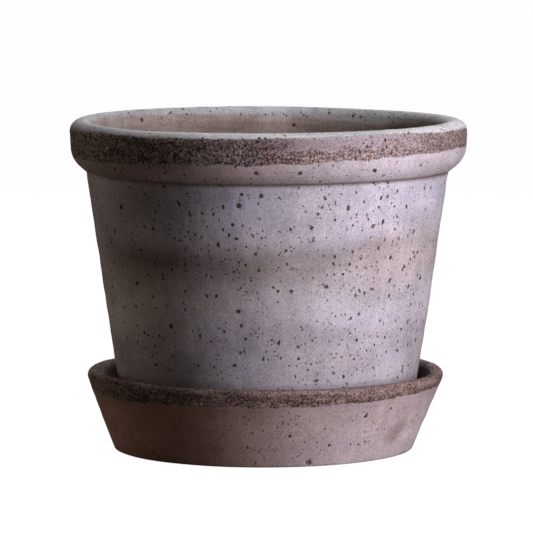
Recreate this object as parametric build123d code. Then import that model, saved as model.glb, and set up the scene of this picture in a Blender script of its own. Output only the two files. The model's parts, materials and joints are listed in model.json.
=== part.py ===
from build123d import *
import os

# A flowerpot of fired clay with a rolled collar, standing in its own drip saucer.
# Millimetres, +Z up. The origin is the centre of the saucer's underside, so the saucer's foot
# stands on Z = 0. Both pieces are solids of revolution about Z, each made in one piece of clay.

# Pot
rim_diameter = 140.0  # outside the collar, the size that such a pot is sold by
foot_diameter = 101.0  # where the line of the wall meets the underside
pot_height = 109.0  # underside to the crest of the lip
pot_wall = 6.5  # level thickness of the tapered wall
pot_floor = 9.0  # underside of the foot to the inside of the floor
collar_height = 18.0  # crest of the lip down to the tapered wall
collar_step = 6.0  # how far the collar stands out from the wall below it
collar_underside = 6.0  # height in which the collar's underside swells out to its full radius
lip_width = 7.2  # level thickness of the collar at the lip, before its edges are rounded
lip_depth = 10.0  # height of the upright stretch inside the lip
lip_taper = 0.8  # how far that stretch leans in towards its lower end
throat_depth = 20.0  # crest of the lip down to where the inside joins the wall's own taper
drain_diameter = 18.0  # hole through the middle of the floor

# Roundings of the pot's corners
foot_round = 3.0
collar_join_round = 0.8
collar_belly_round = 7.0
lip_outer_round = 4.0
lip_inner_round = 2.8
throat_round = 10.0
inner_corner_round = 8.0
drain_round = 1.0

# Saucer
saucer_height = 28.0  # underside to the crest of its lip
saucer_floor = 7.5  # underside to the face that the pot stands on
saucer_wall = 4.4  # level thickness where the wall leaves the floor
saucer_lip = 5.4  # level thickness at the lip, before its edges are rounded

# Roundings of the saucer's corners
base_round = 1.5
saucer_lip_round = 1.9
saucer_corner_round = 3.0

# Fits between the two, and the hollow under each
foot_clearance = 1.0  # pot's foot to the saucer's wall, on the floor that both share
water_gap = 5.1  # pot's wall to the inside of the saucer's lip
foot_ring_width = 10.0  # flat ring that each piece stands on
hollow_depth = 1.0  # rise of the underside inside that ring
hollow_round = 1.5  # where the ring's inner side meets the hollow


def radius_on_line(start, end, height):
    """Radius, at a height, of the straight line through two (radius, height) points."""
    (start_radius, start_height), (end_radius, end_height) = start, end
    slope = (end_radius - start_radius) / (end_height - start_height)
    return start_radius + slope * (height - start_height)


def turned(section):
    """Solid of revolution about Z. A section is a closed list of (radius, height, rounding)."""
    points = [(radius, height) for radius, height, _ in section]
    roundings = [rounding for _, _, rounding in section]
    with BuildPart() as solid:
        with BuildSketch(Plane.XZ):
            with BuildLine():
                FilletPolyline(*points, radius=roundings, close=True)
            make_face()
        revolve(axis=Axis.Z)
    return solid.part


# The pot's heights and the two lines of its tapered wall
foot_level = saucer_floor
lip_level = foot_level + pot_height
collar_level = lip_level - collar_height
throat_level = lip_level - throat_depth
rim_radius = rim_diameter / 2
foot_corner = (foot_diameter / 2, foot_level)
collar_corner = (rim_radius - collar_step, collar_level)


def pot_radius(height):
    """Outer radius of the pot's tapered wall."""
    return radius_on_line(foot_corner, collar_corner, height)


def foot_hollow(outer_radius, level):
    """The step from a flat foot ring up into the shallow hollow under a piece, outside in."""
    ring_radius = outer_radius - foot_ring_width
    return [(ring_radius, level, 0), (ring_radius - hollow_depth, level + hollow_depth, hollow_round)]


def make_pot():
    """Floor with a drain hole, tapered wall, and a collar with an upright, rounded lip."""
    drain_radius = drain_diameter / 2
    lip_inner_radius = rim_radius - lip_width
    inside_floor = foot_level + pot_floor
    ring_step, hollow_edge = foot_hollow(foot_corner[0], foot_level)
    return turned(
        [
            (*foot_corner, foot_round),
            (*collar_corner, collar_join_round),
            (rim_radius, collar_level + collar_underside, collar_belly_round),
            (rim_radius, lip_level, lip_outer_round),
            (lip_inner_radius, lip_level, lip_inner_round),
            (lip_inner_radius - lip_taper, lip_level - lip_depth, throat_round),
            (pot_radius(throat_level) - pot_wall, throat_level, throat_round),
            (pot_radius(inside_floor) - pot_wall, inside_floor, inner_corner_round),
            (drain_radius, inside_floor, drain_round),
            (drain_radius, foot_level + hollow_depth, drain_round),
            hollow_edge,
            ring_step,
        ]
    )


def make_saucer():
    """Flat floor and a sloping wall that keeps clear of the pot at its foot and at the lip."""
    floor_radius = foot_corner[0] + foot_clearance
    lip_inner_radius = pot_radius(saucer_height) + water_gap
    wall_foot = (floor_radius + saucer_wall, saucer_floor)
    lip_corner = (lip_inner_radius + saucer_lip, saucer_height)
    base_radius = radius_on_line(wall_foot, lip_corner, 0)
    ring_step, hollow_edge = foot_hollow(base_radius, 0)
    return turned(
        [
            (base_radius, 0, base_round),
            (*lip_corner, saucer_lip_round),
            (lip_inner_radius, saucer_height, saucer_lip_round),
            (floor_radius, saucer_floor, saucer_corner_round),
            (0, saucer_floor, 0),
            (0, hollow_depth, 0),
            hollow_edge,
            ring_step,
        ]
    )


os.makedirs("parts", exist_ok=True)
export_step(make_saucer(), "parts/saucer.step")
export_step(make_pot(), "parts/pot.step")
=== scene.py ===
"""A flowerpot of slipped terracotta and its saucer, made as surfaces of revolution round +Z.

Metres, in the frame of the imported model. A bearing is measured from the front, -Y, towards +X.
"""

import json
import math
from functools import partial, reduce
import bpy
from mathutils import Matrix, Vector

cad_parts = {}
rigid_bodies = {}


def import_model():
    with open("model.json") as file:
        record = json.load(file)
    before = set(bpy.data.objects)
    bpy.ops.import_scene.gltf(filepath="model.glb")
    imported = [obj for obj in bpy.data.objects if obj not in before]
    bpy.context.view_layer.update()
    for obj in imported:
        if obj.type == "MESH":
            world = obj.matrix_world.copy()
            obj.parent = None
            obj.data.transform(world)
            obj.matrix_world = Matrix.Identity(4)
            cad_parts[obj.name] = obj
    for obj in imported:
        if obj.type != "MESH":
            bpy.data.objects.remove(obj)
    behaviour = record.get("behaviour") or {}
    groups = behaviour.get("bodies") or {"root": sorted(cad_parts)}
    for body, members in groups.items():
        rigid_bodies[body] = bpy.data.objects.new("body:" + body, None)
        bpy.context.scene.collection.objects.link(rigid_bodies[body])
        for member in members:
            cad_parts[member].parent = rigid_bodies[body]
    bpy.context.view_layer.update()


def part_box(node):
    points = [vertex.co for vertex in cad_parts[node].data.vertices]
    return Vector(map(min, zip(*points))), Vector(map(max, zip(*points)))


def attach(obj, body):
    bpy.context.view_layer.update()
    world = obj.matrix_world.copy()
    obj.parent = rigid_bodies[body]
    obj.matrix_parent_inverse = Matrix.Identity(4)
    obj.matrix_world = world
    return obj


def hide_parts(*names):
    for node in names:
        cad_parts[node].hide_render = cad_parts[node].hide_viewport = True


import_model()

from types import SimpleNamespace

import bpy
import numpy as np
from bpy.props import FloatProperty, FloatVectorProperty, IntProperty, PointerProperty

bl_info = {
    "name": "Terracotta Pot",
    "version": (1, 0, 0),
    "blender": (4, 5, 0),
    "location": "3D View > Sidebar > Pot",
    "description": "Makes a slipped terracotta flowerpot and its saucer",
    "category": "Object",
}

MM = 0.001
SEED = 7

# Millimetres between neighbouring points of a section, by how closely that stretch is looked at
FINE_STEP = 0.6
WALL_STEP = 0.85
INNER_STEP = 1.0
HIDDEN_STEP = 4.0


# ---------------------------------------------------------------- settings


def linear(code):
    """Linear RGB of an sRGB hex colour such as "#AAA0AA"."""
    value = np.array([int(code[i : i + 2], 16) for i in (1, 3, 5)]) / 255
    curved = ((value + 0.055) / 1.055) ** 2.4
    return tuple(np.where(value <= 0.04045, value / 12.92, curved).tolist())


def length(name, description, millimetres):
    """A size that the user can change, stored in metres."""
    return FloatProperty(
        name=name, description=description, default=millimetres * MM, unit="LENGTH", precision=5
    )


def colour(name, description, code):
    """A colour that the user can change, stored as linear RGB."""
    return FloatVectorProperty(
        name=name, description=description, default=linear(code), size=3, min=0, max=1, subtype="COLOR"
    )


def power(name, watts):
    """A lamp's power, which the user can change."""
    return FloatProperty(name=name, description="Power", default=watts, unit="POWER")


class PotSettings(bpy.types.PropertyGroup):
    """Sizes of the pot. Its height and its rim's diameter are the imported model's."""

    foot_diameter: length("Foot diameter", "Where the line of the wall meets the underside", 101)
    wall: length("Wall", "Level thickness of the tapered wall", 6.5)
    floor: length("Floor", "Underside of the foot to the inside of the floor", 9)
    collar_height: length("Collar height", "Crest of the lip down to the tapered wall", 18)
    collar_step: length("Collar step", "How far the collar stands out from the wall", 6)
    collar_underside: length("Collar underside", "Height in which the collar swells out", 4.5)
    collar_taper: length("Collar taper", "How far the collar leans in towards its lower end", 0.3)
    lip_width: length("Lip width", "Level thickness of the collar at the lip", 7.2)
    lip_depth: length("Lip depth", "Height of the upright stretch inside the lip", 10)
    lip_taper: length("Lip taper", "How far that stretch leans in towards its lower end", 0.8)
    throat_depth: length("Throat depth", "Crest of the lip to the wall's own taper", 20)
    drain_diameter: length("Drain diameter", "Hole through the middle of the floor", 18)
    band_top: length("Rubbed band top", "Crest of the lip down to the rubbed band", 1.6)
    band_bottom: length("Rubbed band bottom", "Crest of the lip to the rubbed band's end", 10.3)
    smooth_lip: length("Smooth lip", "Crest of the lip to the end of the slip inside", 3.0)


class SaucerSettings(bpy.types.PropertyGroup):
    """Sizes of the saucer. Its height and its lip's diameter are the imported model's."""

    floor: length("Floor", "Underside to the face that the pot stands on", 7.5)
    floor_radius: length("Floor radius", "Radius of the inside of the floor", 51.5)
    wall: length("Wall", "Level thickness where the wall leaves the floor", 4.4)
    lip_width: length("Lip width", "Level thickness of the lip", 5.4)
    band: length("Rubbed band", "Crest of the lip down to the rubbed band's end", 6.1)


class GrogSettings(bpy.types.PropertyGroup):
    """The crushed fired clay that stands out of the rubbed bands."""

    collar_count: IntProperty(name="Collar grains", description="Grains in the collar", default=1500, min=0)
    saucer_count: IntProperty(name="Saucer grains", description="Grains in the saucer", default=900, min=0)
    grain: length("Grain size", "Diameter of a middling grain", 0.36)


class StageSettings(bpy.types.PropertyGroup):
    """Camera, floor and lamps."""

    camera_distance: FloatProperty(
        name="Camera distance", description="Level distance from the axis", default=1.6128, unit="LENGTH"
    )
    camera_height: FloatProperty(
        name="Camera height", description="Height above the floor", default=0.2299, unit="LENGTH"
    )
    camera_dip: FloatProperty(
        name="Camera dip", description="Angle below level", default=math.radians(5.865), unit="ROTATION"
    )
    camera_lens: FloatProperty(
        name="Focal length", description="On a frame 36 mm wide", default=309.1, unit="CAMERA"
    )
    key_power: power("Key lamp", 1.0)
    side_power: power("Side lamp", 0.68)
    back_power: power("Back lamp", 4.0)
    top_power: power("Top lamp", 1.3)
    floor_colour: colour("Floor", "Pale floor", "#FFFFFF")


# ---------------------------------------------------------------- shapes


def unit(vectors):
    """Vectors divided by their own lengths."""
    return vectors / np.linalg.norm(vectors, axis=-1, keepdims=True)


def smooth_step(start, end, value):
    """0 at start and 1 at end, by the curve 3 t^2 - 2 t^3 of the share t of the way."""
    share = np.clip((value - start) / (end - start), 0, 1)
    return share * share * (3 - 2 * share)


def hill(value, middle, width):
    """Bell curve exp(-((value - middle) / width)^2)."""
    return np.exp(-(((value - middle) / width) ** 2))


def line_between(start, end, step):
    """Points from start up to but not at end, evenly spaced, at most about a step apart."""
    count = max(int(np.ceil(np.linalg.norm(end - start) / step)), 1)
    share = np.arange(count)[:, None] / count
    return start + share * (end - start)


def arc_between(centre, start, end, step):
    """Points on a circle from start up to but not at end: with the turn T between the two spokes, the
    point at share t is centre + (sin((1 - t) T) spoke 1 + sin(t T) spoke 2) / sin T."""
    first, last = start - centre, end - centre
    radius = np.linalg.norm(first)
    turn = np.arccos(np.clip(first @ last / radius**2, -1, 1))
    count = max(int(np.ceil(turn * radius / step)), 2)
    share = np.arange(count)[:, None] / count
    return centre + (np.sin((1 - share) * turn) * first + np.sin(share * turn) * last) / np.sin(turn)


def rounded_section(corners, closed):
    """Points (radius, height) along straight lines with rounded corners.

    A corner is (radius, height, rounding, step), all in one unit. Where the angle at a corner is 2 a, its
    arc begins and ends rounding / tan a away, about a centre rounding / sin a along the bisector. Points
    are a step apart on the arc and on the line after it.
    """
    corners = np.array(corners, float)
    place, rounding, step = corners[:, :2], corners[:, 2], corners[:, 3]
    back = unit(np.roll(place, 1, 0) - place)
    ahead = unit(np.roll(place, -1, 0) - place)
    half = np.arccos(np.clip((back * ahead).sum(1), -1, 1)) / 2
    arc_start = place + back * (rounding / np.tan(half))[:, None]
    arc_end = place + ahead * (rounding / np.tan(half))[:, None]
    points = []
    for i in range(len(place)):
        if rounding[i] > 0:
            centre = place[i] + unit(back[i] + ahead[i]) * rounding[i] / np.sin(half[i])
            points.append(arc_between(centre, arc_start[i], arc_end[i], step[i]))
        if closed or i + 1 < len(place):
            points.append(line_between(arc_end[i], arc_start[(i + 1) % len(place)], step[i]))
    if not closed:
        points.append(place[-1:])
    return np.concatenate(points)


def section_facing(points, closed):
    """Outward direction at each point of a section: its tangent turned a quarter turn clockwise."""
    if closed:
        tangent = np.roll(points, -1, 0) - np.roll(points, 1, 0)
    else:
        tangent = np.gradient(points, axis=0)
    return unit(np.stack([tangent[:, 1], -tangent[:, 0]], -1))


def swept(section, bearing):
    """A section carried round the axis: (r sin b, -r cos b, h) for each point and each bearing b."""
    radius, height = section[:, :1], section[:, 1:]
    level = np.ones_like(bearing)
    return np.stack([radius * np.sin(bearing), -radius * np.cos(bearing), height * level], -1)


def ripple(place, wavelength, seed, waves=32):
    """Seamless random relief with a spread of 1: the sum of cosine waves in random directions, with
    random phases and with lengths from 0.7 to 1.4 of the wavelength, over the root of half their number."""
    draw = np.random.default_rng([SEED, seed])
    heading = unit(draw.normal(size=(waves, 3)))
    turns = heading / (wavelength * draw.uniform(0.7, 1.4, (waves, 1)))
    phase = draw.uniform(0, 2 * np.pi, waves)
    return np.cos(2 * np.pi * place @ turns.T + phase).sum(-1) / np.sqrt(waves / 2)


def grid_faces(rows, columns, closed):
    """Quads of a grid of rows round the axis. A closed grid also joins its last row to its first."""
    row = np.arange(rows if closed else rows - 1)[:, None]
    column = np.arange(columns)[None, :]
    here, above = row * columns, (row + 1) % rows * columns
    beside = (column + 1) % columns
    return np.stack([here + column, here + beside, above + beside, above + column], -1).reshape(-1, 4)


def pole_faces(columns, ring_start, pole, upwards):
    """Triangles from one ring of points to a pole on the axis."""
    column = np.arange(columns)
    ends = ring_start + column, ring_start + (column + 1) % columns
    first, second = ends if upwards else ends[::-1]
    return np.stack([first, second, np.full(columns, pole)], -1)


def bake_places(along, columns, strips, closed):
    """Places on a flat map, as (u, v) for the four corners of each quad in grid_faces' order.

    A strip (first row, last row, parts, low, high) is cut into that many parts of the turn, laid above one
    another between the heights low and high, with a thin margin between them. u is the share of a part's
    bearings, and v grows with the distance along the section.
    """
    count = len(along) if closed else len(along) - 1
    ends = np.append(along, 2 * along[-1] - along[-2])
    places = np.zeros((count, columns, 4, 2))
    column = np.arange(columns)[None, :, None] + np.array([0, 1, 1, 0])
    for first, last, parts, low, high in strips:
        row = np.arange(first, last)[:, None, None]
        distance = ends[row + np.array([0, 0, 1, 1])]
        share = (distance - ends[first]) / (ends[last] - ends[first])
        part = np.arange(columns)[None, :, None] * parts // columns
        height = (high - low) / parts
        u = 0.004 + 0.992 * (column * parts / columns - part)
        v = low + height * (part + 0.015 + 0.97 * share)
        places[first:last] = np.stack(np.broadcast_arrays(u, v), -1)
    return places.reshape(-1, 4, 2)


def make_piece(name, vertices, faces, attributes, material, corner_places=None):
    """A smooth mesh object at the origin, with a value or vector for each vertex in each attribute."""
    mesh = bpy.data.meshes.new(name)
    mesh.from_pydata(vertices, [], faces)
    mesh.shade_smooth()
    if corner_places is not None:
        flat_map = mesh.uv_layers.new(name="OFBake")
        flat_map.uv.foreach_set("vector", corner_places.astype(np.float32).ravel())
    for key, values in attributes.items():
        kind, field = ("FLOAT_VECTOR", "vector") if values.ndim == 2 else ("FLOAT", "value")
        mesh.attributes.new(key, kind, "POINT").data.foreach_set(field, values.astype(np.float32).ravel())
    mesh.materials.append(material)
    mesh.validate()
    piece = bpy.data.objects.new(name, mesh)
    bpy.context.scene.collection.objects.link(piece)
    return piece


# ---------------------------------------------------------------- pits

# Pits that a finger would find, as (bearing in degrees, height, width, length, lean in degrees)
BODY_PITS = [
    (-9, 91.5, 1.9, 1.9, 0), (-14, 91, 1.2, 1.6, 0), (-2, 95, 1.6, 1.4, 0), (-8, 95.5, 1.2, 1.2, 0),
    (-11, 85, 1.4, 1.4, 0), (-10, 80, 1.2, 1.2, 0), (-16, 78, 1.2, 1.8, 10), (16, 88.5, 1.2, 1.2, 0),
    (26, 90, 1.3, 1.9, 0), (40, 84.5, 1.2, 2.0, 0), (38, 93, 1.1, 1.5, 30), (50, 89, 1.0, 1.6, 0),
    (56, 80, 1.0, 1.7, 20), (39, 75.5, 1.0, 1.4, 20), (20, 63, 1.5, 1.5, 0), (28, 70.5, 1.0, 1.5, 15),
    (46, 63.5, 1.1, 1.8, 35), (57, 60.5, 1.1, 1.9, 10), (38, 61, 1.9, 1.0, 10), (18, 30, 1.5, 1.1, 0),
    (-54, 88.7, 1.7, 1.8, 0), (-60, 80, 1.3, 2.0, 0), (-33, 82.7, 1.0, 1.0, 0), (-21, 88.7, 1.1, 1.1, 0),
    (-38, 88.7, 0.9, 1.4, 0), (-68, 74, 1.0, 1.8, 0), (-36, 48.3, 1.5, 1.9, 0), (-37.5, 65, 1.1, 1.0, 0),
    (-43, 58.3, 1.1, 0.9, 0), (-29, 61, 1.0, 0.9, 0), (-45, 34, 1.3, 1.2, 0), (-26, 35, 1.6, 1.1, 30),
    (-12, 35.5, 1.3, 1.2, 0), (-71, 90.5, 0.9, 1.3, 0), (48, 78, 1.0, 1.2, 0), (6, 76, 1.1, 0.9, 0),
]
COLLAR_PITS = [
    (9, 103, 1.6, 1.5, 0), (32, 103, 2.0, 1.3, 30), (36, 101, 1.4, 1.4, 0), (-31, 102.5, 1.1, 1.1, 0),
]
SAUCER_PITS = [
    (36, 17.5, 1.4, 2.1, 30), (9, 11.5, 1.6, 1.2, 0), (24, 7.5, 1.3, 1.0, 20), (17, 1.5, 2.2, 1.8, 0),
]
PIT_MARGIN = 1.35 * MM

# How many of the scattered pits fall near another one, and how far from it
CLUSTERED_SHARE = 0.45
CLUSTER_SPREAD = 5 * MM

# Radii that turn a difference of bearings into a distance, within a cluster and between two pits
CLUSTER_RADIUS = 62 * MM
GAP_RADIUS = 60 * MM

# Smoky marks of the kiln on the wall, as (bearing, height, half width in degrees, half height, strength)
SMOKE_MARKS = [
    (-30, 71.5, 24, 4.0, 0.55), (-48, 74, 18, 6, 0.36), (-50, 69, 12, 4, 0.4), (-40, 63, 14, 4, 0.3),
    (-14, 61, 9, 3, 0.15), (-8, 67.5, 17, 4.0, 0.34), (12, 74, 16, 3.0, 0.2), (-26, 89, 17, 9, 0.06),
    (20, 69, 14, 1.2, 0.15), (38, 77, 12, 2.2, 0.16), (-14, 44, 14, 4, 0.2), (15, 47, 12, 4, 0.13),
    (140, 70, 30, 6, 0.4), (-120, 60, 30, 8, 0.3), (175, 88, 25, 5, 0.25),
]

# Patches where the slip stayed wet for longer and dried darker and cooler, listed in the same way. Those 93
# to 96 mm high at the front are painted shade under the collar.
WET_AND_SHADE_MARKS = [
    (-15, 93.5, 9, 5, 0.5), (-38, 89, 12, 8, 0.45), (-30, 46, 16, 5, 0.15), (20, 46.5, 18, 4, 0.2),
    (3, 95.5, 10, 3, 0.1), (20, 95.5, 60, 3, 0.24), (-48, 93, 10, 5, 0.2), (-14, 84, 8, 5, 0.15),
    (-44, 40, 10, 4, 0.2), (10, 84, 9, 3, 0.15), (-5, 40, 25, 4, 0.15), (35, 90, 10, 3, 0.1),
    (150, 50, 30, 8, 0.3), (-150, 92, 25, 6, 0.3),
]

# Patches where the slip lies thicker and dried paler, listed in the same way. Those at bearings -68 to -78
# are painted light, lifting the shaded left edge.
POT_BLOOM_AND_LIGHT = [
    (-78, 85, 12, 14, 0.6), (-68, 42, 12, 18, 0.5), (45, 84, 16, 7, 0.3), (60, 70, 14, 5, 0.15),
    (-30, 41, 8, 4, 1), (27, 50, 8, 7, 0.7), (26, 69, 7, 3, 0.6), (74, 54, 9, 8, 0.6), (-71, 88, 5, 4, 0.8),
]
SAUCER_BLOOM = [
    (64, 15, 7, 6, 0.9), (44, 13, 6, 5, 0.3), (74, 6, 14, 5, 0.7), (-64, 11, 12, 8, 0.9), (28, 8, 8, 4, 0.2),
]

# Small white flecks just inside the lip, on the left
WHITE_FLECK_MARKS = [(-118, 108.5, 7, 0.9, 0.8), (-104, 107, 5, 0.8, 0.6)]


def scatter_pits(draw, count, lowest, highest, placed):
    """Pits (bearing, distance up the section, width, length, lean), with the placed ones first.

    Sizes follow a falling curve from 0.45 mm up. A new pit keeps its own and its neighbour's margin, and
    more of them fall where others already are, because grog lies in clusters.
    """
    pits = list(placed)
    for _ in range(count * 4):
        if len(pits) >= count:
            break
        size = (0.45 + min(draw.exponential(0.3), 1.1)) * MM
        stretch = draw.uniform(1, 1.5)
        lean = draw.normal(0, math.radians(20))
        if draw.random() < CLUSTERED_SHARE and pits:
            near = pits[draw.integers(len(pits))]
            bearing = near[0] + draw.normal(0, CLUSTER_SPREAD) / CLUSTER_RADIUS
            along = near[1] + draw.normal(0, CLUSTER_SPREAD)
        else:
            bearing = draw.uniform(-math.pi, math.pi)
            along = draw.uniform(lowest, highest)
        here = np.array([pit[:3] for pit in pits]).reshape(-1, 3)
        gap = np.hypot((here[:, 0] - bearing) * GAP_RADIUS, here[:, 1] - along)
        if lowest < along < highest and np.all(gap > (here[:, 2] + size) / 2 + 2 * PIT_MARGIN):
            pits.append((bearing, along, size, size * stretch, lean))
    return pits


def mark_field(marks, bearing, height):
    """Strength of a list of marks: each adds a bell over the bearing times a bell over the height."""
    total = 0
    for middle, level, half_width, half_height, strength in marks:
        turn = (np.degrees(bearing) - middle + 180) % 360 - 180
        total = total + strength * hill(turn, 0, half_width) * hill(height, level * MM, half_height * MM)
    return np.clip(total, 0, 1)


def pit_fields(pits, bearing, radius, along, seed):
    """For each vertex near a pit: its offset from the middle in pit radii, a mark, a tone and a depth.

    The offset is turned by the pit's lean and divided by half its width and half its length, so that the
    pit's outline is where its length r is 1. The mark is 1 where the offset may be read. A pit over 1.2 mm
    wide is also a dent, in full from 1.8 mm: its depth is 0.16 of its width times exp(-r^2 / 1.2).
    """
    draw = np.random.default_rng([SEED, seed])
    place = np.zeros((len(along), len(bearing), 3))
    tone = np.zeros(place.shape[:2])
    depth = np.zeros(place.shape[:2])
    for middle, level, width, tall, lean in pits:
        reach = max(width, tall) / 2 + PIT_MARGIN
        rows = np.flatnonzero(np.abs(along - level) < reach)
        if not len(rows):
            continue
        window = slice(rows[0], rows[-1] + 1)
        turn = (bearing - middle + math.pi) % (2 * math.pi) - math.pi
        across = turn * radius[window, None]
        up = (along[window] - level)[:, None] * np.ones_like(across)
        u = (across * math.cos(lean) - up * math.sin(lean)) / (width / 2)
        v = (across * math.sin(lean) + up * math.cos(lean)) / (tall / 2)
        inside = np.hypot(across, up) < reach
        place[window][inside] = np.stack([u, v, np.ones_like(u)], -1)[inside]
        tone[window][inside] = draw.random()
        deep = smooth_step(1.2 * MM, 1.8 * MM, width)
        dent = width * 0.16 * deep * np.exp(-((u * u + v * v) / 1.2))
        depth[window][inside] = dent[inside]
    return place, tone, depth


# ---------------------------------------------------------------- materials

# Short words for the nodes that the clay needs often: kind, input sockets in order, output, settings
SHORT_WORDS = {
    "rise": ("MapRange", (0, 1, 2, 3, 4), 0, {"interpolation_type": "SMOOTHSTEP"}),
    "sum": ("Math", (0, 1), 0, {"operation": "ADD"}),
    "product": ("Math", (0, 1), 0, {"operation": "MULTIPLY"}),
    "quotient": ("Math", (0, 1), 0, {"operation": "DIVIDE"}),
    "larger": ("Math", (0, 1), 0, {"operation": "MAXIMUM"}),
    "above": ("Math", (0, 1), 0, {"operation": "GREATER_THAN"}),
    "scaled": ("VectorMath", (0, 1), 0, {"operation": "MULTIPLY"}),
    "blend": ("Mix", (0, 6, 7), 2, {"data_type": "RGBA"}),
    "tinted": ("Mix", (0, 6, 7), 2, {"data_type": "RGBA", "blend_type": "MULTIPLY"}),
}


def add_node(tree, kind, *values, inputs=None, output=0, stops=None, **settings):
    """Adds a shader node and returns one of its outputs.

    The kind is Blender's own or one of SHORT_WORDS. The values go to its sockets in order, and inputs maps
    a socket's name or number to its value. A value is a number, a tuple, a hex colour or another node's
    output. stops are a colour ramp's (position, hex colour) pairs, and settings the node's properties.
    """
    kind, sockets, output, usual = SHORT_WORDS.get(kind, (kind, range(len(values)), output, {}))
    node = tree.nodes.new("ShaderNode" + kind)
    for key, value in {**usual, **settings}.items():
        setattr(node, key, value)
    if stops:
        elements = node.color_ramp.elements
        while len(elements) < len(stops):
            elements.new(1)
        for element, (position, code) in zip(elements, stops):
            element.position = position
            element.color = (*linear(code), 1)
    for key, value in [*zip(sockets, values), *(inputs or {}).items()]:
        if isinstance(value, bpy.types.NodeSocket):
            tree.links.new(value, node.inputs[key])
        else:
            node.inputs[key].default_value = (*linear(value), 1) if isinstance(value, str) else value
    return node.outputs[output] if node.outputs else None


def new_material(name):
    """An empty node material, and its node maker."""
    material = bpy.data.materials.new(name)
    material.use_nodes = True
    material.node_tree.nodes.clear()
    return material, partial(add_node, material.node_tree)


# What sets the two clays apart. Heights are in millimetres, and a tint multiplies a colour.
#   slip: the slip's colour at each height, between low and high, which is near the lip's crest
#   tilt: how far the slip's colours lean and wander up and down the wall
#   pitted: how large the small pits are
#   inside, inner_ring, deep: the two colours inside, and how dark painted shade makes them below the lip
#   shade_tint: painted shade, a browner tint on the shaded side left of the front, and above bead_level
#       bead_shade_tint, painted shade on the bead's shaded side, or bead_plain elsewhere
#   band_tint, band_shaded_lift, gain: the rubbed band, painted light that lifts its shaded left side, and its
#       brightness
#   grainy, calm: how much the band's grains differ, and how even they get on the right
POT_FINISH = {
    "slip": [
        (7, "#A299A2"), (38, "#A299A5"), (50, "#A79EAA"), (58, "#A69BA4"), (65, "#9E9197"),
        (71, "#958A90"), (77, "#A499A5"), (86, "#ABA2B1"), (100, "#ACA3B1"), (117, "#ADA0AA"),
    ],
    "low": 7, "high": 117, "tilt": 1.0, "pitted": 1.0,
    "lip": "#BCBBC1", "inside": "#A6938F", "inner_ring": "#B4A5A2", "deep": 0.73,
    "shade_tint": (0.9, 0.88, 0.75, 1), "bead_level": 98.5,
    "bead_shade_tint": (0.75, 0.6, 0.48, 1), "bead_plain": (0.92, 0.88, 0.84, 1),
    "band_tint": (1.0, 0.97, 1.0, 1), "band_shaded_lift": (1.25, 1.36, 1.18, 1),
    "gain": 0.98, "grainy": 0.8, "calm": 0.4,
}
SAUCER_FINISH = {
    "slip": [(0, "#B7A6AE"), (8, "#B3A2AA"), (16, "#AC999D"), (21, "#A39196"), (29, "#9E8D92")],
    "low": 0, "high": 31, "tilt": 0.0, "pitted": 0.72,
    # The saucer's deep is strong painted shade on its inside below the lip
    "lip": "#A09097", "inside": "#5A4A43", "inner_ring": "#66554D", "deep": 0.25,
    "shade_tint": (0.8, 0.55, 0.4, 1), "bead_level": -1,
    "bead_shade_tint": (0.8, 0.55, 0.4, 1), "bead_plain": (1, 1, 1, 1),
    "band_tint": (0.98, 0.88, 0.83, 1), "band_shaded_lift": (1.05, 1.0, 0.92, 1),
    "gain": 1.16, "grainy": 0.5, "calm": 0.0,
}

# Single values stored on the clay's meshes, that say where each mark lies
MARK_NAMES = (
    "rubbed", "lip", "inner", "broken", "crease_shade", "smoke_and_shade", "wet_and_shade", "bloom_and_light", "white_fleck", "pit_tone",
)


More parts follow.
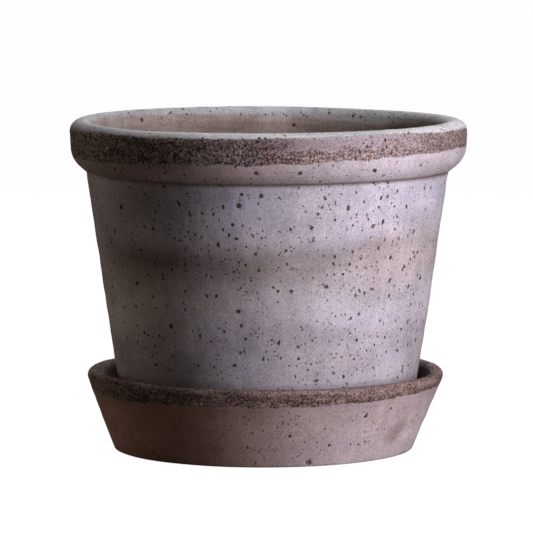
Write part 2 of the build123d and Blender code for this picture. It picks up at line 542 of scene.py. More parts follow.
class ClayLayers:
    """The layers of one slipped clay, with the places, marks and random patterns that they share."""

    def __init__(self, node, finish):
        self.node = node
        self.finish = finish
        where = node("TexCoord", output="Object")
        # One unit of this vector is a millimetre, so that a scale is one over a size in millimetres
        self.place = node("scaled", where, (1000, 1000, 1000))
        self.across, self.away, self.height = (
            node("SeparateXYZ", self.place, output=axis) for axis in range(3)
        )
        self.mark = {key: node("Attribute", output="Fac", attribute_name=key) for key in MARK_NAMES}
        self.near_side = node("rise", self.away, 5, 50, 1.0, 0.4)
        # Painted shade: the shaded side, left of the front, where the slip is tinted browner, the band lifted
        # and the pits darkened
        self.shaded_side = node("product", node("rise", self.across, -8, -50), self.near_side)
        self.cloud = self.mottle(11, 4, 0.6)
        self.smear = self.mottle(4.5, 4, 0.6, (0.3, 0.3, 1), (5, 2, 8))
        self.hair = self.mottle(0.5, 2, 0.6, (1, 1, 0.12))
        self.rings = self.mottle(1.3, 3, 0.6, (0.09, 0.09, 1))
        self.speck = self.mottle(0.3, 1, 0.6)
        patch = self.mottle(5, 3, 0.55, (1, 1, 0.8), (31, 7, 3))
        drip = self.mottle(2.2, 3, 0.6, (1, 1, 0.3), (14, 3, 6))
        self.shade = self.total(
            node("rise", self.cloud, 0.3, 0.7, 0.9, 1.08),
            node("rise", self.smear, 0.3, 0.7, -0.09, 0.07),
            self.swing(patch, 0.05),
            self.swing(self.hair, 0.05, 0.25),
            self.swing(self.rings, 0.02, 0.25),
            self.swing(self.speck, 0.17),
            self.swing(drip, 0.06),
        )

    def mottle(self, size, detail=3.0, rough=0.55, stretch=(1, 1, 1), shift=(0, 0, 0)):
        """Random lumps of about size millimetres, longer along an axis whose stretch is under 1."""
        moved = self.node("Mapping", inputs={"Vector": self.place, "Scale": stretch, "Location": shift})
        fineness = {"Scale": 0.5 / size, "Detail": detail, "Roughness": rough}
        return self.node("TexNoise", inputs={"Vector": moved, **fineness})

    def swing(self, pattern, amount, start=0.3):
        """A pattern spread smoothly from -amount, where it is start or less, to +amount."""
        return self.node("rise", pattern, start, 1 - start, -amount, amount)

    def total(self, *values):
        """Several values added up."""
        return reduce(partial(self.node, "sum"), values)

    def share_of(self, *values):
        """Several shares multiplied together."""
        return reduce(partial(self.node, "product"), values)

    def slip(self):
        """Slip: its colour by height, clouded, warmed, cooled, marked, and with painted shade and light on
        the shaded side.
        """
        node, finish, across, height = self.node, self.finish, self.across, self.height
        low, high, tilt = finish["low"], finish["high"], finish["tilt"]
        wander = self.mottle(14, 2, 0.5, shift=(2, 9, 1))
        leaning = self.total(height, node("product", across, -0.1 * tilt), self.swing(wander, 2.5 * tilt))
        share = node("MapRange", leaning, low, high)
        stops = [((level - low) / (high - low), code) for level, code in finish["slip"]]
        slip = node("tinted", 1.0, node("ValToRGB", share, stops=stops), self.shade)

        warm = self.mottle(7, 4, 0.6, (0.4, 0.4, 1.2), (3, 40, 9))
        cool = self.mottle(9, 3, 0.55, (0.5, 0.5, 1.2), (23, 4, 19))
        slip = node("tinted", node("rise", warm, 0.45, 0.7), slip, (0.99, 0.95, 0.94, 1))
        slip = node("tinted", node("rise", cool, 0.5, 0.7), slip, (0.95, 0.98, 1.03, 1))
        # Marks: smoke with painted shade under the bead, wet patches with painted shade under the collar,
        # pale patches with painted light on the left edge
        for key, least, tint in (
            ("smoke_and_shade", 0.6, (0.42, 0.34, 0.28, 1)),
            ("wet_and_shade", 0.7, (0.5, 0.54, 0.56, 1)),
            ("bloom_and_light", 0.5, (1.25, 1.24, 1.28, 1)),
        ):
            share = node("product", self.mark[key], node("rise", self.smear, 0.25, 0.6, least, 1.1))
            slip = node("tinted", share, slip, tint)

        # Painted shade: the slip is tinted browner on the shaded side, and the bead darker there
        bead = node("above", height, finish["bead_level"])
        shaded_bead = node("product", node("rise", across, 28, -38), self.near_side)
        shaded_side = node("blend", bead, self.shaded_side, shaded_bead)
        unshaded_tint = node("blend", bead, (1, 1, 1, 1), finish["bead_plain"])
        shade_tint = node("blend", bead, finish["shade_tint"], finish["bead_shade_tint"])
        slip = node("tinted", 1.0, slip, node("blend", shaded_side, unshaded_tint, shade_tint))
        # Painted light: the shaded side is made paler at middle heights, most from 54 to 62 mm
        painted_light_low_left = self.share_of(
            self.shaded_side, node("rise", height, 75, 62), node("rise", height, 38, 54, 0.1, 0.55)
        )
        return node("tinted", 1.0, slip, node("sum", 1.0, painted_light_low_left))

    def lip(self, slip):
        """The smooth lip, with painted light and shade: paler on the left and along its right edge, darker
        far left and right.
        """
        node, across = self.node, self.across
        # Painted light and shade on the lip, by how far it lies to the left or right
        right_edge_light = node("product", node("rise", across, 42, 60, 0, 0.2), node("rise", self.away, 10, -20))
        lip_tone_and_light = self.share_of(
            self.shade,
            node("rise", across, -10, 40, 1.12, 0.78),
            node("rise", across, -60, -20, 0.72, 1.0),
            node("sum", 1.0, right_edge_light),
        )
        smooth = node("tinted", 1.0, self.finish["lip"], lip_tone_and_light)
        return node("blend", self.mark["lip"], slip, smooth)

    def inside(self, slip):
        """The ringed inside, with painted shade that darkens it with depth, and small white flecks below the
        lip.
        """
        node, finish, across = self.node, self.finish, self.across
        high = finish["high"]
        inside_shade = node("sum", self.shade, self.swing(self.rings, 0.12))
        # Painted shade: the inside darkens from 3 to 8 mm below the crest, towards the right and at the far
        # left
        depth = self.share_of(
            node("rise", self.height, high - 8, high - 3, finish["deep"], 1.15),
            node("rise", across, -5, 45, 1.08, 0.67),
            node("rise", across, -62, -30, 0.8, 1.0),
        )
        inside = node("blend", node("rise", self.cloud, 0.35, 0.65), finish["inside"], finish["inner_ring"])
        inside = node("tinted", 1.0, node("tinted", 1.0, inside, inside_shade), depth)
        clay = node("blend", self.mark["inner"], slip, inside)
        crumbs = node("rise", self.mottle(0.7, 3, 0.6, shift=(8, 1, 6)), 0.3, 0.7, -0.8, 0.3)
        white_fleck = node("rise", node("sum", self.mark["white_fleck"], crumbs), 0.35, 0.6)
        return node("blend", node("product", white_fleck, 0.8), clay, "#E6DFDC")

    def band_grains(self, streaks):
        """Picks a tone for each grain, 0 to 1: its own, drawn out along the sponge's strokes."""
        node, grainy = self.node, self.finish["grainy"]
        cells = node("TexVoronoi", inputs={"Vector": self.place, "Scale": 1 / 0.5}, output="Color")
        smudge = self.mottle(3.0, 4, 0.65, (0.22, 0.22, 1), (9, 2, 5))
        pick = self.total(
            node("product", node("SeparateColor", cells), grainy),
            0.33 - 0.35 * grainy,
            self.swing(smudge, 0.11),
            self.swing(streaks, 0.28 - 0.22 * grainy),
        )
        even = node("rise", self.across, 0, 45, 0.0, self.finish["calm"])
        return node("Mix", inputs={0: even, 2: pick, 3: 0.6})

    def band_gaps(self):
        """Black gaps between the grains, and on the lit side more of them, smaller."""
        node, across = self.node, self.across
        cells = {"Vector": self.place, "Scale": 1 / 1.3}
        between = node("TexVoronoi", inputs=cells, feature="DISTANCE_TO_EDGE")
        gaps = node("rise", self.mottle(0.42, 2, 0.6, shift=(4, 4, 1)), 0.54, 0.62)
        gaps = node("larger", gaps, node("product", node("rise", between, 0.15, 0.05), 0.3))
        gaps = node("product", gaps, node("rise", across, 25, 62, 0.88, 0.5))
        specks = node("rise", self.mottle(0.4, 2, 0.6, (1, 1, 1.2), (6, 6, 2)), 0.54, 0.6)
        lit_side = node("rise", across, 5, 35, 0.0, 1.05 * self.finish["grainy"])
        return node("larger", gaps, node("product", specks, lit_side))

    def rubbed_band(self, clay, slip):
        """The bare clay of the rubbed band: grains, gaps, rust, slip left where the band is broken, and
        painted light.
        """
        node, finish, across, height = self.node, self.finish, self.across, self.height
        high = finish["high"]
        fray = self.swing(self.mottle(0.4, 3, 0.7), 0.3, 0.2)
        frayed = self.total(self.mark["rubbed"], fray, self.swing(self.mottle(1.8, 2, 0.5), 0.12))
        self.band = node("rise", frayed, -0.12, 0.18)
        streaks = self.mottle(1.3, 4, 0.65, (0.22, 0.22, 1), (1, 8, 2))
        self.grains = self.band_grains(streaks)
        self.gaps = self.band_gaps()
        stops = [
            (0.0, "#241B1B"), (0.22, "#4A3D3D"), (0.42, "#6E5F61"), (0.66, "#88797B"), (0.82, "#988889"),
            (0.86, "#92614F"), (0.92, "#B3A5A6"),
        ]
        bare = node("blend", self.gaps, node("ValToRGB", self.grains, stops=stops), "#1B1210")
        rust = node(
            "product",
            node("rise", self.mottle(0.34, 1, 0.5, shift=(13, 2, 7)), 0.64, 0.69),
            node("rise", across, -40, 0, 0.0, 1.4 * finish["grainy"] - 0.4),
        )
        bare = node("blend", rust, bare, "#93604E")
        upper = node("rise", node("sum", height, self.swing(streaks, 2.5)), high - 7.5, high - 4.0)
        left_over = self.share_of(self.mark["broken"], upper, 0.75)
        bare = node("blend", left_over, bare, node("tinted", 1.0, slip, (0.8, 0.78, 0.79, 1)))
        # Painted light: the band is lifted and tinted on the shaded side
        bare = node("tinted", self.shaded_side, bare, finish["band_shaded_lift"])
        bare = node("tinted", 1.0, bare, finish["band_tint"])
        # Painted light: the band is made brighter right of the middle, at the near far left and along its
        # lower half
        low_half_light = node("rise", height, high - 4.5, high - 7, 0.0, 0.32)
        gain = self.total(
            finish["gain"],
            self.share_of(node("rise", across, 0, 25, 0, 0.3), node("rise", across, 64, 44)),
            self.share_of(node("rise", across, -45, -62, 0, 0.4), self.near_side),
            self.share_of(low_half_light, node("rise", across, -50, -34), node("rise", across, 50, 35)),
            node("rise", across, 30, 50, 0.0, 0.16),
        )
        return node("blend", self.band, clay, node("tinted", 1.0, bare, gain))

    def small_pits(self, cell, radius, shift):
        """Discs where a cloud of points, one to a cell, cuts the surface, in millimetres."""
        node, pitted = self.node, self.finish["pitted"]
        bent = {"Vector": self.place, "Scale": (1, 1, 0.78), "Location": (shift, 0, 0)}
        apart = node("TexVoronoi", inputs={"Vector": node("Mapping", inputs=bent), "Scale": 1 / cell})
        ragged = self.swing(self.mottle(0.3, 1, 0.5), 0.12, 0.25)
        edge = node("sum", node("product", apart, cell), ragged)
        crowd = self.mottle(7, 2, 0.5, shift=(shift, 3, 3))
        crowd = node("rise", crowd, 0.38, 0.6, 0.62 * pitted, 1.15 * pitted)
        return node("rise", node("quotient", edge, crowd), radius, radius * 0.75)

    def pits(self, clay):
        """Dark pits where grog fell out, a few with a stone left in, and paler clay round the large ones;
        painted shade darkens them on the shaded side.
        """
        node = self.node
        offset = node("Attribute", output="Vector", attribute_name="pit_place")
        known = node("above", node("SeparateXYZ", offset, output=2), 0.995)
        from_middle = node("scaled", offset, (1, 1, 0))
        from_middle = node("VectorMath", from_middle, output="Value", operation="LENGTH")
        edge = node("sum", from_middle, self.swing(self.mottle(0.32, 2, 0.7), 0.3))
        self.large = node("product", node("rise", edge, 1.02, 0.92), known)
        halo = self.share_of(node("rise", edge, 2.0, 1.2), known, 0.14)
        has_stone = node("rise", self.mark["pit_tone"], 0.72, 0.8)
        stone = self.share_of(node("rise", edge, 0.6, 0.35), has_stone, 0.6)
        fine = self.small_pits(3.1, 0.52, 5)
        dust = node("product", self.small_pits(1.8, 0.32, 17), 0.85)
        fewer_inside = node("rise", self.mark["inner"], 0.2, 0.9, 1.0, 0.35)
        self.small = node("product", node("larger", fine, dust), fewer_inside)
        hollow = node("blend", node("rise", self.mottle(0.5), 0.35, 0.65), "#2C1A14", "#533B33")
        # Painted shade: the hollows go darker on the shaded side
        hollow = node("blend", self.shaded_side, hollow, "#1A1210")
        clay = node("tinted", halo, clay, (1.25, 1.25, 1.22, 1))
        clay = node("tinted", self.small, clay, (0.25, 0.17, 0.13, 1))
        return node("blend", node("product", self.large, 0.95), clay, node("blend", stone, hollow, "#8E7F76"))

    def relief(self):
        """Height of the surface in millimetres: hairs, rings, specks, grains, gaps and pits."""
        return self.total(
            self.share_of(self.hair, 0.05),
            self.share_of(self.rings, 0.06),
            self.share_of(self.speck, 0.03),
            self.share_of(self.grains, self.band, 0.16),
            self.share_of(self.gaps, self.band, -0.2),
            self.share_of(self.large, -0.35),
            self.share_of(self.small, -0.2),
        )


def slipped_terracotta(name, finish):
    """Terracotta brushed with a thin lilac-grey slip and fired unglazed, its band rubbed with a wet sponge.

    To the eye: chalky and matt, cloudy where the slip was brushed thin, with fine upright brush hairs,
    faint throwing rings and dark pits where grog fell out. The rubbed band shows the bare body: brown-grey
    grains, rusty and pale grog, and black gaps between them.
    """
    material, node = new_material(name)
    layers = ClayLayers(node, finish)
    slip = layers.lip(layers.slip())
    clay = layers.rubbed_band(layers.inside(slip), slip)
    clay = layers.pits(clay)
    # Painted shade: the crease under the collar is darkened
    clay = node("tinted", layers.mark["crease_shade"], clay, (0.38, 0.3, 0.26, 1))
    bump = node("Bump", inputs={"Height": layers.relief(), "Distance": MM, "Strength": 1.0})
    rough = node("rise", layers.band, 0, 1, 0.8, 0.95)
    finish_inputs = {"Base Color": clay, "Roughness": rough, "Specular IOR Level": 0.25, "Normal": bump}
    node("OutputMaterial", node("BsdfPrincipled", inputs=finish_inputs))
    return material


def grog():
    """Grog, which is fired clay crushed and mixed back in: dull angular grains, brown, rust or pale."""
    material, node = new_material("grog")
    pick = node("Attribute", output="Fac", attribute_name="grain_tone")
    stops = [
        (0.0, "#2B211D"), (0.3, "#5A4A45"), (0.55, "#7D6C68"), (0.9, "#9B8A87"), (0.94, "#A0644A"),
        (0.98, "#CFC0B8"),
    ]
    where = node("TexCoord", output="Object")
    mottle = node("TexNoise", inputs={"Vector": where, "Scale": 0.5 / (0.25 * MM), "Detail": 2.0})
    shade = node("MapRange", mottle, 0.3, 0.7, 0.8, 1.15)
    tone = node("tinted", 1.0, node("ValToRGB", pick, stops=stops), shade)
    dull = {"Base Color": tone, "Roughness": 0.9, "Specular IOR Level": 0.25}
    node("OutputMaterial", node("BsdfPrincipled", inputs=dull))
    return material


# ---------------------------------------------------------------- pieces

POT_COLUMNS = 468
SAUCER_COLUMNS = 560

# Both pieces stand on a flat ring, and are hollowed a little inside it
FOOT_RING = 10 * MM
HOLLOW = 1 * MM
HOLLOW_ROUND = 1.5

# Height of the pot's wall that its saucer hides
HIDDEN_WALL = 18 * MM

# How far the sharp corner that the saucer's lip is rounded from stands outside the rounded lip
LIP_CORNER = 0.9 * MM

# Stored where there is no rubbed band, as if its edge were this many millimetres away
FAR_FROM_BAND = -5

# Multiplies places, so that a ripple is drawn out round the axis like the rings of throwing
ALONG_RINGS = (0.05, 0.05, 1)

# The stain on the saucer: bearing, height, and half its size in degrees across and millimetres up
STAIN_TURN = 53.5
STAIN_HEIGHT = 10
STAIN_RADIUS = 4.4

# Pits in all, and how far they go: down inside the pot's lip, and up to this far below the saucer's
POT_PIT_COUNT = 600
POT_PITS_INSIDE = 18 * MM
SAUCER_PIT_COUNT = 60
SAUCER_PITS_BELOW = 4 * MM


def turned_surface(section, columns, top, closed):
    """A section carried round the axis, and what the finishes need to know about each of its points.

    top is the height of the lip's crest. The outside is the rows up to the crest.
    """
    bearing = 2 * np.pi * np.arange(columns) / columns - np.pi
    radius, level = section[:, 0], section[:, 1]
    rows = np.arange(len(section))
    crest = np.argmax(level)
    return SimpleNamespace(
        bearing=bearing,
        turn=np.degrees(bearing),
        radius=radius,
        level=level,
        along=np.concatenate([[0], np.cumsum(np.linalg.norm(np.diff(section, axis=0), axis=1))]),
        crest=crest,
        rows=rows[:, None],
        outside=(rows <= crest)[:, None],
        top=top,
        below_lip=(top - level)[:, None],
        place=swept(section, bearing),
        facing=swept(section_facing(section, closed), bearing),
    )


def outside_only(surface, values, elsewhere=0.0):
    """Values on the outside of a surface, and another value inside, for every point of the grid."""
    return np.where(surface.outside, values, elsewhere) * np.ones(len(surface.bearing))


def marks_outside(surface, marks):
    """Strength of a list of marks on the outside of a surface."""
    return outside_only(surface, mark_field(marks, surface.bearing[None, :], surface.level[:, None]))


def placed_pits(pits, surface, first_row=0):
    """Listed pits as scatter_pits wants them: in radians, and in metres up the outside of the section."""
    outer = slice(first_row, surface.crest + 1)
    level, along = surface.level[outer], surface.along[outer]
    return [
        (math.radians(turn), np.interp(height * MM, level, along), width * MM, tall * MM, math.radians(lean))
        for turn, height, width, tall, lean in pits
    ]


def pot_corners(size, foot_level, lip_level, rim_radius):
    """Corners of the pot's section, up the outside, over the lip and back underneath, in metres."""
    collar_level = lip_level - size.collar_height
    foot_radius = size.foot_diameter / 2
    slope = (rim_radius - size.collar_step - foot_radius) / (collar_level - foot_level)
    inner_lip = rim_radius - size.lip_width
    throat_level = lip_level - size.throat_depth
    floor_level = foot_level + size.floor
    drain = size.drain_diameter / 2
    hidden_level = foot_level + HIDDEN_WALL

    def wall_radius(level):
        return foot_radius + slope * (level - foot_level)

    rows = [
        (foot_radius, foot_level, 3, 1.6),
        (wall_radius(hidden_level), hidden_level, 0, WALL_STEP),
        (rim_radius - size.collar_step, collar_level, 0.8, FINE_STEP),
        (rim_radius - size.collar_taper, collar_level + size.collar_underside, 9.5, FINE_STEP),
        (rim_radius, lip_level, 4, FINE_STEP),
        (inner_lip, lip_level, 2.8, 0.7),
        (inner_lip - size.lip_taper, lip_level - size.lip_depth, 10, INNER_STEP),
        (wall_radius(throat_level) - size.wall, throat_level, 10, HIDDEN_STEP),
        (wall_radius(floor_level) - size.wall, floor_level, 8, HIDDEN_STEP),
        (drain, floor_level, 1, HIDDEN_STEP),
        (drain, foot_level + HOLLOW, 1, HIDDEN_STEP),
        (foot_radius - FOOT_RING - HOLLOW, foot_level + HOLLOW, HOLLOW_ROUND, HIDDEN_STEP),
        (foot_radius - FOOT_RING, foot_level, 0, HIDDEN_STEP),
    ]
    return [(radius, level, rounding * MM, step * MM) for radius, level, rounding, step in rows]


def pot_marks(size, pot):
    """Where the pot is rubbed, in millimetres inside the band's frayed edges, and its other marks, 0 to 1.

    The band's edges wave round the pot by sines and bells of the bearing, as a hand holds a sponge.
    """
    turn, level, below_lip = pot.turn, pot.level[:, None], pot.below_lip
    fray = 0.2 * MM * ripple(pot.place, 14 * MM, 1) + 0.08 * MM * ripple(pot.place, 3 * MM, 2)
    dip = 1.5 * smooth_step(-55, -85, turn) + 0.8 * smooth_step(70, 85, turn)
    dip += 1.2 * hill(turn, 62, 16) - 0.35 * hill(turn, -54, 9)
    wave = np.where(turn > 0, 0.7, 0.35) * np.sin(2 * pot.bearing)
    band_top = size.band_top + (dip - wave) * MM
    band_bottom = size.band_bottom - 1.8 * MM * np.sin(pot.bearing)
    in_band = np.minimum(below_lip - band_top + 0.4 * fray, band_bottom - below_lip + fray)

    slip_end = 1 - 0.65 * hill(turn, -112, 42) - 0.6 * hill(turn, 85, 22) + 0.5 * hill(turn, 142, 20)
    slip_end = size.smooth_lip * slip_end
    # Painted shade in the crease where the collar meets the wall, fading out on the left
    crease_level = pot.top - size.collar_height + 0.15 * MM
    crease_shade = hill(level, crease_level, 0.7 * MM) * smooth_step(-75, -30, turn)
    # Painted shade along the underside of the bead, on the left and the front
    shade_under_bead = 0.35 * hill(level, 100 * MM, 1.6 * MM) * smooth_step(40, -20, turn)
    white_fleck = mark_field(WHITE_FLECK_MARKS, pot.bearing[None, :], level)
    return {
        "rubbed": outside_only(pot, in_band / MM, FAR_FROM_BAND),
        "lip": outside_only(pot, smooth_step(3 * MM, 1 * MM, below_lip), 1),
        "inner": np.where(pot.outside, 0, smooth_step(slip_end - 0.4 * MM, slip_end + 0.8 * MM, below_lip)),
        "broken": hill(turn, 22, 22) * np.ones_like(level),
        "crease_shade": outside_only(pot, crease_shade),
        "smoke_and_shade": marks_outside(pot, SMOKE_MARKS) + outside_only(pot, shade_under_bead),
        # Wet patches, with painted shade under the collar
        "wet_and_shade": marks_outside(pot, WET_AND_SHADE_MARKS),
        "bloom_and_light": marks_outside(pot, POT_BLOOM_AND_LIGHT),
        "white_fleck": np.where(pot.outside, 0, white_fleck),
    }


def pot_shape(pot, worn, dent, foot_level):
    """The pot's points moved along their facing by rings, ripples, the cut-back band, a swelling below the
    lip and the dents, then warped: the rim sinks and rises by sines of the bearing, and leans over."""
    rings = pot.place * ALONG_RINGS
    relief = (
        0.05 * MM * ripple(rings, 6 * MM, 5)
        + 0.06 * MM * ripple(pot.place, 55 * MM, 6)
        + 0.02 * MM * ripple(pot.place, 5 * MM, 7)
        - worn * (0.10 * MM + 0.035 * MM * ripple(pot.place, 1.8 * MM, 8))
        + outside_only(pot, 0.3 * MM * hill(pot.level[:, None], pot.top - 4 * MM, 3.5 * MM))
        - dent
    )
    place = pot.place + pot.facing * relief[:, :, None]
    share = ((pot.level - foot_level) / (pot.top - foot_level))[:, None]
    bearing = pot.bearing
    sag = -0.08 - 0.18 * np.cos(bearing) - 0.03 * np.sin(bearing) + 0.25 * np.sin(2 * bearing)
    place[:, :, 2] += share**2 * MM * sag
    place[:, :, 0] += 0.3 * MM * smooth_step(0.8, 0.9, share)
    return place


class POT_OT_pot(bpy.types.Operator):
    """Makes the pot's clay, with its warped rim, rubbed collar and pits"""

    bl_idname = "pot.make_pot"
    bl_label = "Make the pot"

    def execute(self, context):
        size = context.scene.pot_settings
        low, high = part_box("pot")
        section = rounded_section(pot_corners(size, low.z, high.z, (high.x - low.x) / 2), closed=True)
        pot = turned_surface(section, POT_COLUMNS, high.z, closed=True)
        marks = pot_marks(size, pot)

        draw = np.random.default_rng([SEED, 3])
        listed = placed_pits(BODY_PITS + COLLAR_PITS, pot)
        highest = pot.along[pot.crest] + POT_PITS_INSIDE
        pits = scatter_pits(draw, POT_PIT_COUNT, pot.along[2], highest, listed)
        pit_place, marks["pit_tone"], dent = pit_fields(pits, pot.bearing, pot.radius, pot.along, 4)
        place = pot_shape(pot, smooth_step(-0.5, 0.5, marks["rubbed"]), dent, low.z)

        attributes = {key: values.ravel() for key, values in marks.items()}
        attributes["pit_place"] = pit_place.reshape(-1, 3)
        faces = grid_faces(len(section), POT_COLUMNS, closed=True)
        material = slipped_terracotta("slipped_terracotta_pot", POT_FINISH)
        strips = [(0, pot.crest, 2, 0, 0.76), (pot.crest, len(section), 1, 0.76, 1)]
        flat_map = bake_places(pot.along, POT_COLUMNS, strips, closed=True).reshape(-1, 2)
        piece = make_piece("pot_clay_body", place.reshape(-1, 3), faces, attributes, material, flat_map)
        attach(piece, "pot")
        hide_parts("pot")
        return {"FINISHED"}


def saucer_corners(size, height, lip_radius):
    """Corners of the saucer's section, out underneath, up the outside and back to the axis, in metres."""
    wall_foot = size.floor_radius + size.wall
    slope = (lip_radius - wall_foot) / (height - size.floor)
    base_radius = wall_foot - slope * size.floor
    rows = [
        (0, HOLLOW, 0, HIDDEN_STEP),
        (base_radius - FOOT_RING - HOLLOW, HOLLOW, HOLLOW_ROUND, HIDDEN_STEP),
        (base_radius - FOOT_RING, 0, 0, HIDDEN_STEP),
        (base_radius, 0, 0.8, 0.45),
        (lip_radius, height, 1.9, 0.4),
        (lip_radius - size.lip_width, height, 1.9, 0.8),
        (size.floor_radius, size.floor, 3, HIDDEN_STEP),
        (0, size.floor, 0, HIDDEN_STEP),
    ]
    return [(radius, level, rounding * MM, step * MM) for radius, level, rounding, step in rows]


def saucer_marks(size, saucer, base):
    """Where the saucer is rubbed, in millimetres inside the band's frayed edges, and its marks, 0 to 1.

    The stain is a leaning oval on the right, full in its middle and gone a little past its outline.
    """
    turn, below_lip = saucer.turn, saucer.below_lip
    fray = 0.18 * MM * ripple(saucer.place, 13 * MM, 11) + 0.08 * MM * ripple(saucer.place, 3 * MM, 12)
    lower = size.band + (0.7 * hill(turn, -48, 16) - 1.6 * smooth_step(10, 70, turn)) * MM
    over = np.where(np.abs(turn) < 85, 0.5, 0.9) * MM
    in_band = np.where(saucer.outside, lower - below_lip + fray, over - below_lip + 0.5 * fray)
    inner_start = 0.7 * MM + 1.6 * MM * hill(turn, 80, 12)
    inner = smooth_step(inner_start, inner_start + 0.8 * MM, below_lip)

    across, up = turn - STAIN_TURN, saucer.level[:, None] / MM - STAIN_HEIGHT
    from_middle = np.hypot((across - 0.5 * up) / STAIN_RADIUS, up / STAIN_RADIUS)
    stain = 0.5 * smooth_step(1.4, 0.7, from_middle)
    return {
        **dict.fromkeys(("lip", "crease_shade", "white_fleck"), np.zeros_like(in_band)),
        "rubbed": np.where(saucer.rows > base, in_band / MM, FAR_FROM_BAND),
        "inner": np.where(saucer.outside, 0, inner),
        "broken": 0.3 * hill(turn, 20, 30) * np.ones_like(below_lip),
        "smoke_and_shade": outside_only(saucer, np.maximum(0.28 * hill(turn, -24, 34), stain)),
        "wet_and_shade": outside_only(saucer, 0.24 * hill(turn, 10, 24)),
        "bloom_and_light": marks_outside(saucer, SAUCER_BLOOM),
    }


def saucer_shape(size, saucer, worn, dent):
    """The saucer's points moved along their facing by rings, ripples, the cut-back band and the dents, and
    the outside of its wall drawn over to the left, more at its foot than at its lip."""
    shown = smooth_step(size.floor_radius, size.floor_radius + 2 * MM, saucer.radius)[:, None]
    relief = shown * (
        0.05 * MM * ripple(saucer.place * ALONG_RINGS, 5 * MM, 15)
        + 0.08 * MM * ripple(saucer.place, 40 * MM, 16)
        - worn * (0.08 * MM + 0.035 * MM * ripple(saucer.place, 1.6 * MM, 17))
        - dent
    )
    place = saucer.place + saucer.facing * relief[:, :, None]
    lean = 0.7 + 0.7 * (1 - (saucer.level / saucer.top) ** 2.5)[:, None]
    past_floor = smooth_step(size.floor_radius - 8 * MM, size.floor_radius, saucer.radius)[:, None]
    place[:, :, 0] -= outside_only(saucer, MM * lean * past_floor)
    return place


def with_poles(values):
    """Rows of values as one list, the first and last rows, which lie on the axis, as one value each."""
    inner_rows = values[1:-1].reshape(-1, *values.shape[2:])
    return np.concatenate([inner_rows, values[0, :1], values[-1, :1]])


def with_pole_corners(quads):
    """Flat map places of all quads, where the first and last rings are triangles that end in a pole."""
    under = quads[0][:, [2, 3, 0]]
    middle = quads[-1][:, [0, 1, 3]]
    return np.concatenate([quads[1:-1].reshape(-1, 2), under.reshape(-1, 2), middle.reshape(-1, 2)])


class POT_OT_saucer(bpy.types.Operator):
    """Makes the saucer's clay, with its rubbed lip and pits"""

    bl_idname = "pot.make_saucer"
    bl_label = "Make the saucer"

    def execute(self, context):
        size = context.scene.saucer_settings
        low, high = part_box("saucer")
        lip_radius = (high.x - low.x) / 2 + LIP_CORNER
        section = rounded_section(saucer_corners(size, high.z, lip_radius), closed=False)
        saucer = turned_surface(section, SAUCER_COLUMNS, high.z, closed=False)
        along, crest = saucer.along, saucer.crest
        base = np.argmax((saucer.level < 2 * MM) & (saucer.radius > size.floor_radius))
        marks = saucer_marks(size, saucer, base)

        draw = np.random.default_rng([SEED, 13])
        listed = placed_pits(SAUCER_PITS, saucer, base)
        highest = along[crest] - SAUCER_PITS_BELOW
        pits = scatter_pits(draw, SAUCER_PIT_COUNT, along[base], highest, listed)
        marks["pit_place"], marks["pit_tone"], dent = pit_fields(
            pits, saucer.bearing, saucer.radius, along, 14
        )
        place = saucer_shape(size, saucer, smooth_step(-0.5, 0.5, marks["rubbed"]), dent)

        vertices = with_poles(place)
        ring = len(section) - 2
        under_pole, middle_pole = len(vertices) - 2, len(vertices) - 1
        faces = grid_faces(ring, SAUCER_COLUMNS, closed=False).tolist()
        faces += pole_faces(SAUCER_COLUMNS, 0, under_pole, upwards=False).tolist()
        faces += pole_faces(SAUCER_COLUMNS, (ring - 1) * SAUCER_COLUMNS, middle_pole, upwards=True).tolist()

        attributes = {key: with_poles(values) for key, values in marks.items()}
        material = slipped_terracotta("slipped_terracotta_saucer", SAUCER_FINISH)
        last = len(section) - 1
        strips = [(base, crest, 2, 0, 0.6), (0, base, 1, 0.6, 0.78), (crest, last, 1, 0.78, 1)]
        quads = bake_places(along, SAUCER_COLUMNS, strips, closed=False)
        flat_map = with_pole_corners(quads.reshape(last, SAUCER_COLUMNS, 4, 2))
        piece = make_piece("saucer_clay_body", vertices, faces, attributes, material, flat_map)
        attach(piece, "saucer")
        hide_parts("saucer")
        return {"FINISHED"}


def lumps(points, facing, draw, size):
    """Angular grains: the 12 corners and 20 faces of an icosahedron, each corner pulled in or out by up to
    a quarter, stretched along three axes, turned at random and sunk half-way into the surface."""
    golden = (1 + math.sqrt(5)) / 2
    pairs = np.array([(a, b * golden) for a in (-1, 1) for b in (-1, 1)])
    zero = np.zeros((4, 1))
    solid = unit(np.concatenate([
        np.concatenate([zero, pairs], 1),
        np.concatenate([pairs[:, :1], pairs[:, 1:], zero], 1),
        np.concatenate([pairs[:, 1:], zero, pairs[:, :1]], 1),
    ]))
    apart = np.linalg.norm(solid[:, None] - solid[None], axis=-1)
    near = apart < 1.1
    faces = [
        (a, b, c) if np.linalg.det(solid[[a, b, c]]) > 0 else (a, c, b)
        for a in range(12) for b in range(a + 1, 12) for c in range(b + 1, 12)
        if near[a, b] and near[b, c] and near[a, c]
    ]
    count = len(points)
    corners = solid * draw.uniform(0.75, 1.15, (count, 12, 1)) * draw.uniform(0.7, 1.2, (count, 1, 3))
    turn, _ = np.linalg.qr(draw.normal(size=(count, 3, 3)))
    turn *= np.sign(np.linalg.det(turn))[:, None, None]
    radius = size / 2 * np.clip(draw.lognormal(0, 0.35, (count, 1, 1)), 0.5, 1.9)
    vertices = (corners @ turn) * radius + (points - facing * radius[:, 0] * 0.5)[:, None]
    first = (np.arange(count) * 12)[:, None, None]
    return vertices.reshape(-1, 3), (np.array(faces) + first).reshape(-1, 3)


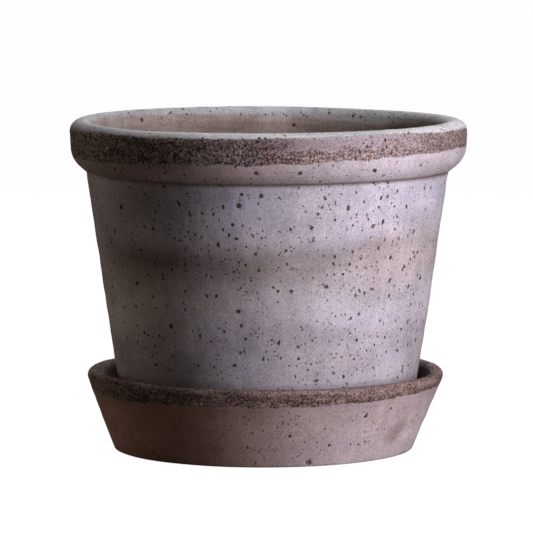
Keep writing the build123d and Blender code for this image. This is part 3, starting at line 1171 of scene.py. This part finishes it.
def set_grains(source, name, body, count, size, seed):
    """Grog grains on the rubbed band of a piece, at points drawn from its mesh."""
    mesh = source.data
    points = np.empty(len(mesh.vertices) * 3)
    facing = np.empty(len(mesh.vertices) * 3)
    rubbed = np.empty(len(mesh.vertices))
    mesh.vertices.foreach_get("co", points)
    mesh.vertex_normals.foreach_get("vector", facing)
    mesh.attributes["rubbed"].data.foreach_get("value", rubbed)
    points, facing = points.reshape(-1, 3), facing.reshape(-1, 3)
    draw = np.random.default_rng([SEED, seed])
    chosen = draw.choice(np.flatnonzero(rubbed > 0.2), count, replace=False)
    sideways = unit(np.cross(facing[chosen], draw.normal(size=(count, 3))))
    spots = points[chosen] + sideways * draw.uniform(0, 0.35 * MM, (count, 1))
    vertices, faces = lumps(spots, facing[chosen], draw, size)
    tone = np.repeat(draw.random(count), 12)
    piece = make_piece(name, vertices, faces, {"grain_tone": tone}, grog())
    piece.data.shade_flat()
    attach(piece, body)
    return piece


class POT_OT_grog(bpy.types.Operator):
    """Sets grains of grog into the rubbed bands of the collar and of the saucer's lip"""

    bl_idname = "pot.make_grog"
    bl_label = "Set the grog grains"

    def execute(self, context):
        size = context.scene.grog_settings
        objects = bpy.data.objects
        pot, saucer = objects["pot_clay_body"], objects["saucer_clay_body"]
        grains = set_grains(pot, "collar_grog", "pot", size.collar_count, size.grain, 21)
        grains = set_grains(saucer, "saucer_grog", "saucer", size.saucer_count, size.grain, 22)
        return {"FINISHED"}


# ---------------------------------------------------------------- stage

FLOOR_WIDTH = 24.0

# The camera stands this far to the left of the axis
CAMERA_SHIFT = 0.35 * MM


def studio_floor(tint):
    """White seamless paper, lit evenly from below: the camera sees its glow and only a faint shadow."""
    material, node = new_material("seamless_paper")
    seen = node("LightPath", output="Is Camera Ray")
    glow = node("Emission", (*tint, 1), 1.04)
    paper = node("BsdfDiffuse", (0.8, 0.8, 0.8, 1))
    bounce = node("BsdfDiffuse", (0.18, 0.17, 0.16, 1))
    shown = node("MixShader", 0.05, glow, paper)
    node("OutputMaterial", node("MixShader", seen, bounce, shown))
    return material


def add_lamp(name, bearing, distance, height, aim, power, width, tall, tint):
    """A softbox at a bearing in degrees, facing a point on the axis at the aim's height."""
    light = bpy.data.lights.new(name, "AREA")
    light.shape = "RECTANGLE"
    light.size, light.size_y = width, tall
    light.energy = power
    light.color = tint
    lamp = bpy.data.objects.new(name, light)
    turn = math.radians(bearing)
    lamp.location = (distance * math.sin(turn), -distance * math.cos(turn), height)
    lamp.rotation_euler = (math.pi / 2 - math.atan2(height - aim, distance), 0, turn)
    lamp.visible_camera = False
    bpy.context.scene.collection.objects.link(lamp)


class POT_OT_stage(bpy.types.Operator):
    """Makes the floor, the softboxes, the room's faint light and the camera"""

    bl_idname = "pot.make_stage"
    bl_label = "Make the stage"

    def execute(self, context):
        stage = context.scene.stage_settings
        scene = context.scene
        half = FLOOR_WIDTH / 2
        corners = [(-half, -half, 0), (half, -half, 0), (half, half, 0), (-half, half, 0)]
        mesh = bpy.data.meshes.new("studio_floor")
        mesh.from_pydata(corners, [], [(0, 1, 2, 3)])
        mesh.materials.append(studio_floor(stage.floor_colour))
        floor = bpy.data.objects.new("studio_floor", mesh)
        scene.collection.objects.link(floor)

        add_lamp("key_softbox", 46, 0.26, 0.115, 0.115, stage.key_power, 0.08, 0.32, (1, 1, 1))
        add_lamp("side_softbox", -114, 0.75, 0.10, 0.07, stage.side_power, 0.4, 0.25, (1, 0.9, 0.78))
        add_lamp("back_softbox", 178, 0.85, 0.45, 0.07, stage.back_power, 0.5, 0.3, (1, 0.98, 0.95))
        add_lamp("top_softbox", 75, 0.16, 0.60, 0.07, stage.top_power, 0.2, 0.2, (1, 1, 1))

        world = bpy.data.worlds.new("studio")
        world.use_nodes = True
        world.node_tree.nodes.clear()
        node = partial(add_node, world.node_tree)
        seen = node("LightPath", output="Is Camera Ray")
        dim = node("Background", (1, 0.77, 0.57, 1), 0.05)
        white = node("Background", (1, 1, 1, 1), 1.0)
        node("OutputWorld", node("MixShader", seen, dim, white))
        scene.world = world

        camera = bpy.data.cameras.new("camera")
        camera.lens = stage.camera_lens
        camera.sensor_width = 36
        camera.clip_end = 100
        viewer = bpy.data.objects.new("camera", camera)
        viewer.location = (-CAMERA_SHIFT, -stage.camera_distance, stage.camera_height)
        viewer.rotation_euler = (math.pi / 2 - stage.camera_dip, 0, 0)
        scene.collection.objects.link(viewer)
        scene.camera = viewer
        scene.view_settings.view_transform = "Standard"
        return {"FINISHED"}


class POT_PT_panel(bpy.types.Panel):
    """Lists the steps that make the pot"""

    bl_idname = "POT_PT_panel"
    bl_label = "Terracotta pot"
    bl_space_type = "VIEW_3D"
    bl_region_type = "UI"
    bl_category = "Pot"

    def draw(self, context):
        for step in STEPS:
            self.layout.operator(step.bl_idname)


STEPS = (POT_OT_pot, POT_OT_saucer, POT_OT_grog, POT_OT_stage)
SETTINGS = {
    "pot_settings": PotSettings,
    "saucer_settings": SaucerSettings,
    "grog_settings": GrogSettings,
    "stage_settings": StageSettings,
}


def register():
    for group in (*SETTINGS.values(), *STEPS, POT_PT_panel):
        bpy.utils.register_class(group)
    for name, group in SETTINGS.items():
        setattr(bpy.types.Scene, name, PointerProperty(type=group))


def unregister():
    for name in SETTINGS:
        delattr(bpy.types.Scene, name)
    for group in (POT_PT_panel, *STEPS, *SETTINGS.values()):
        bpy.utils.unregister_class(group)


def main():
    register()
    bpy.ops.pot.make_pot()
    bpy.ops.pot.make_saucer()
    bpy.ops.pot.make_grog()
    bpy.ops.pot.make_stage()


if __name__ == "__main__":
    main()
